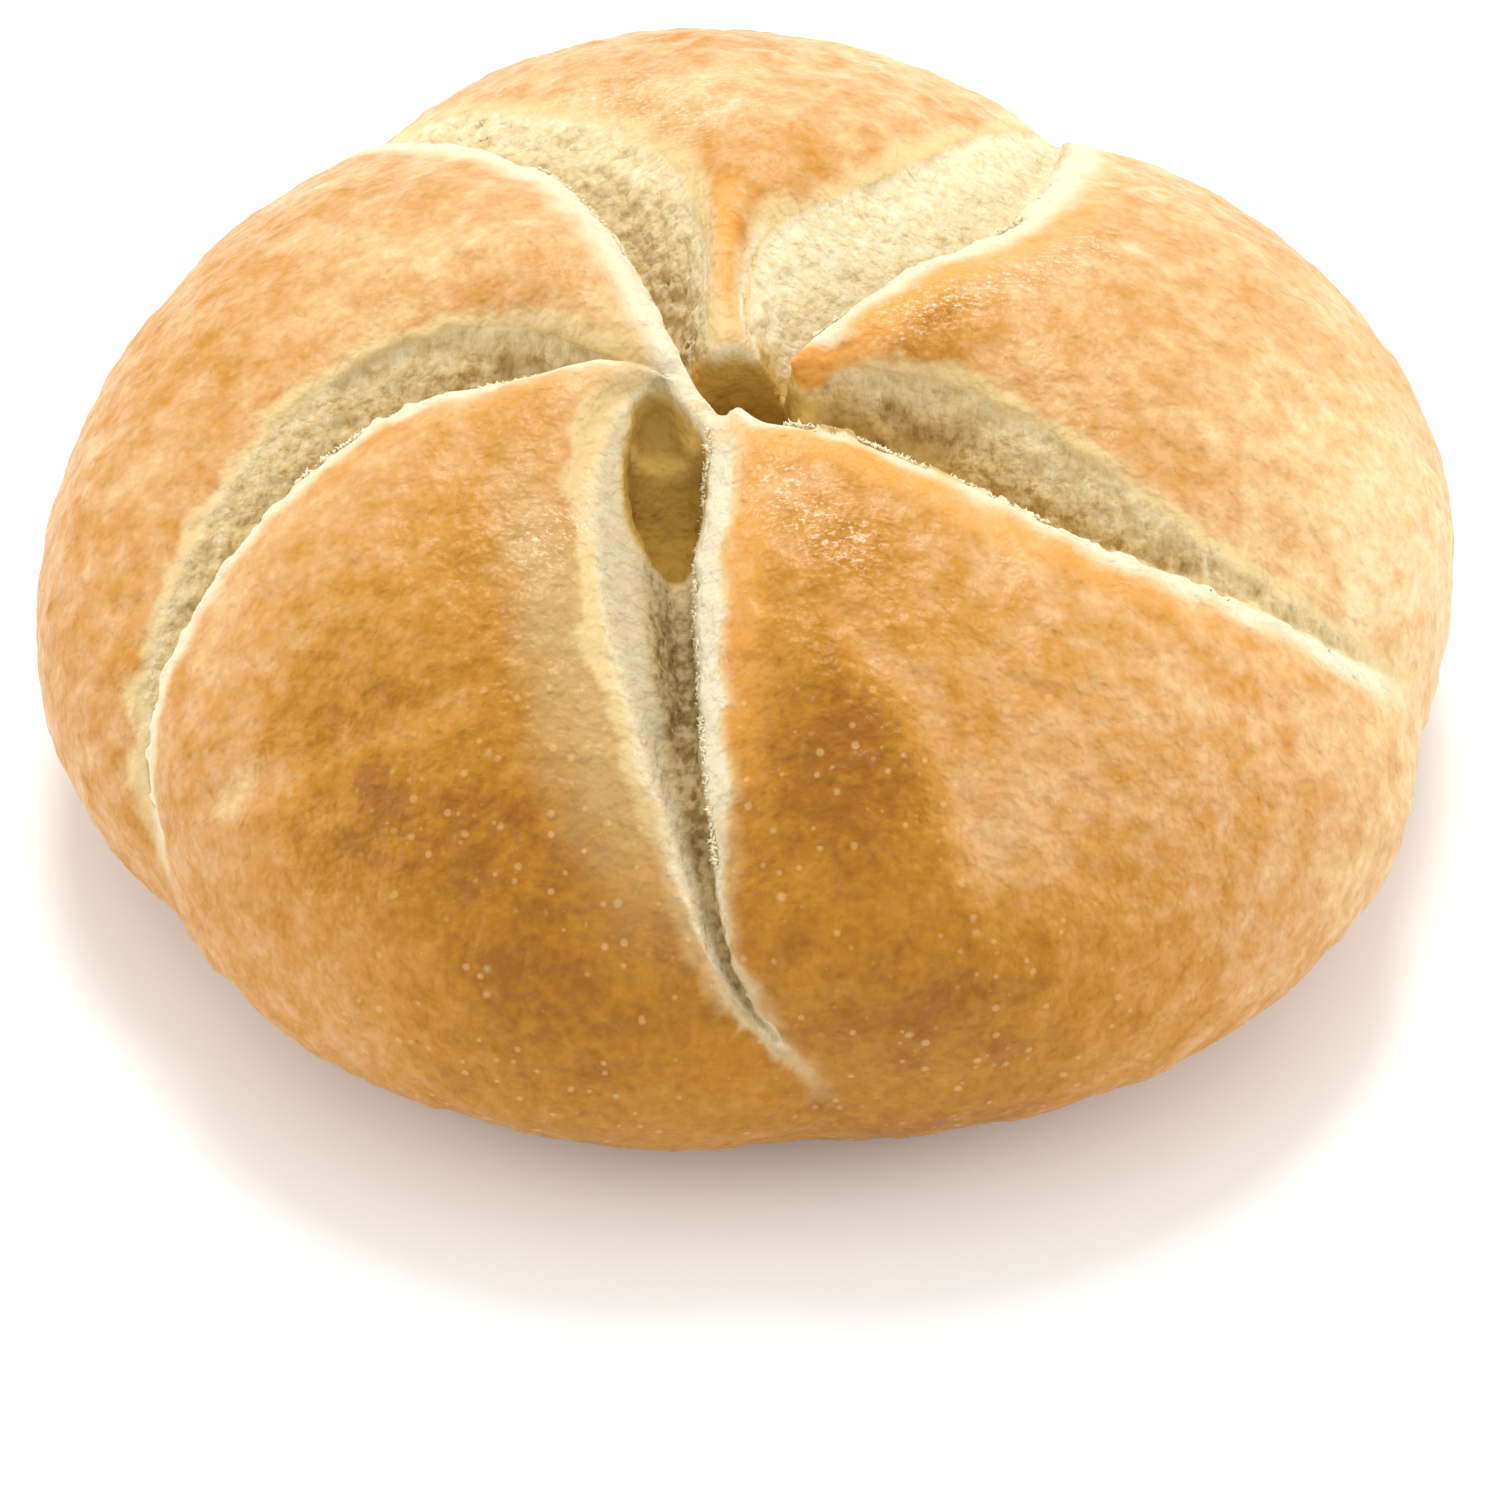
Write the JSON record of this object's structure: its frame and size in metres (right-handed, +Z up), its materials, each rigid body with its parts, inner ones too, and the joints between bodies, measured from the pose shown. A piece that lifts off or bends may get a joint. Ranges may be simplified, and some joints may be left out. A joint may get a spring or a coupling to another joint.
{
  "type": "bread roll",
  "caption": "Round star-cut bread roll with five puffed crust lobes, curved open cuts that show pale crumb, and a small hole in the crown",
  "frame": {"origin": "on the surface it rests on, under the middle of the roll's box", "axes": "+Z up through the crown, -Y towards the front cut, +X to the right as the front cut is looked at"},
  "size_m": [0.1034, 0.0998, 0.0424],
  "materials": {
    "crust": "thin baked wheat crust, golden with paler bands beside the cuts, faintly glossy on top; the cuts show matt cream crumb"
  },
  "bodies": {
    "root": {"bread_roll": "crust"}
  },
  "joints": []
}
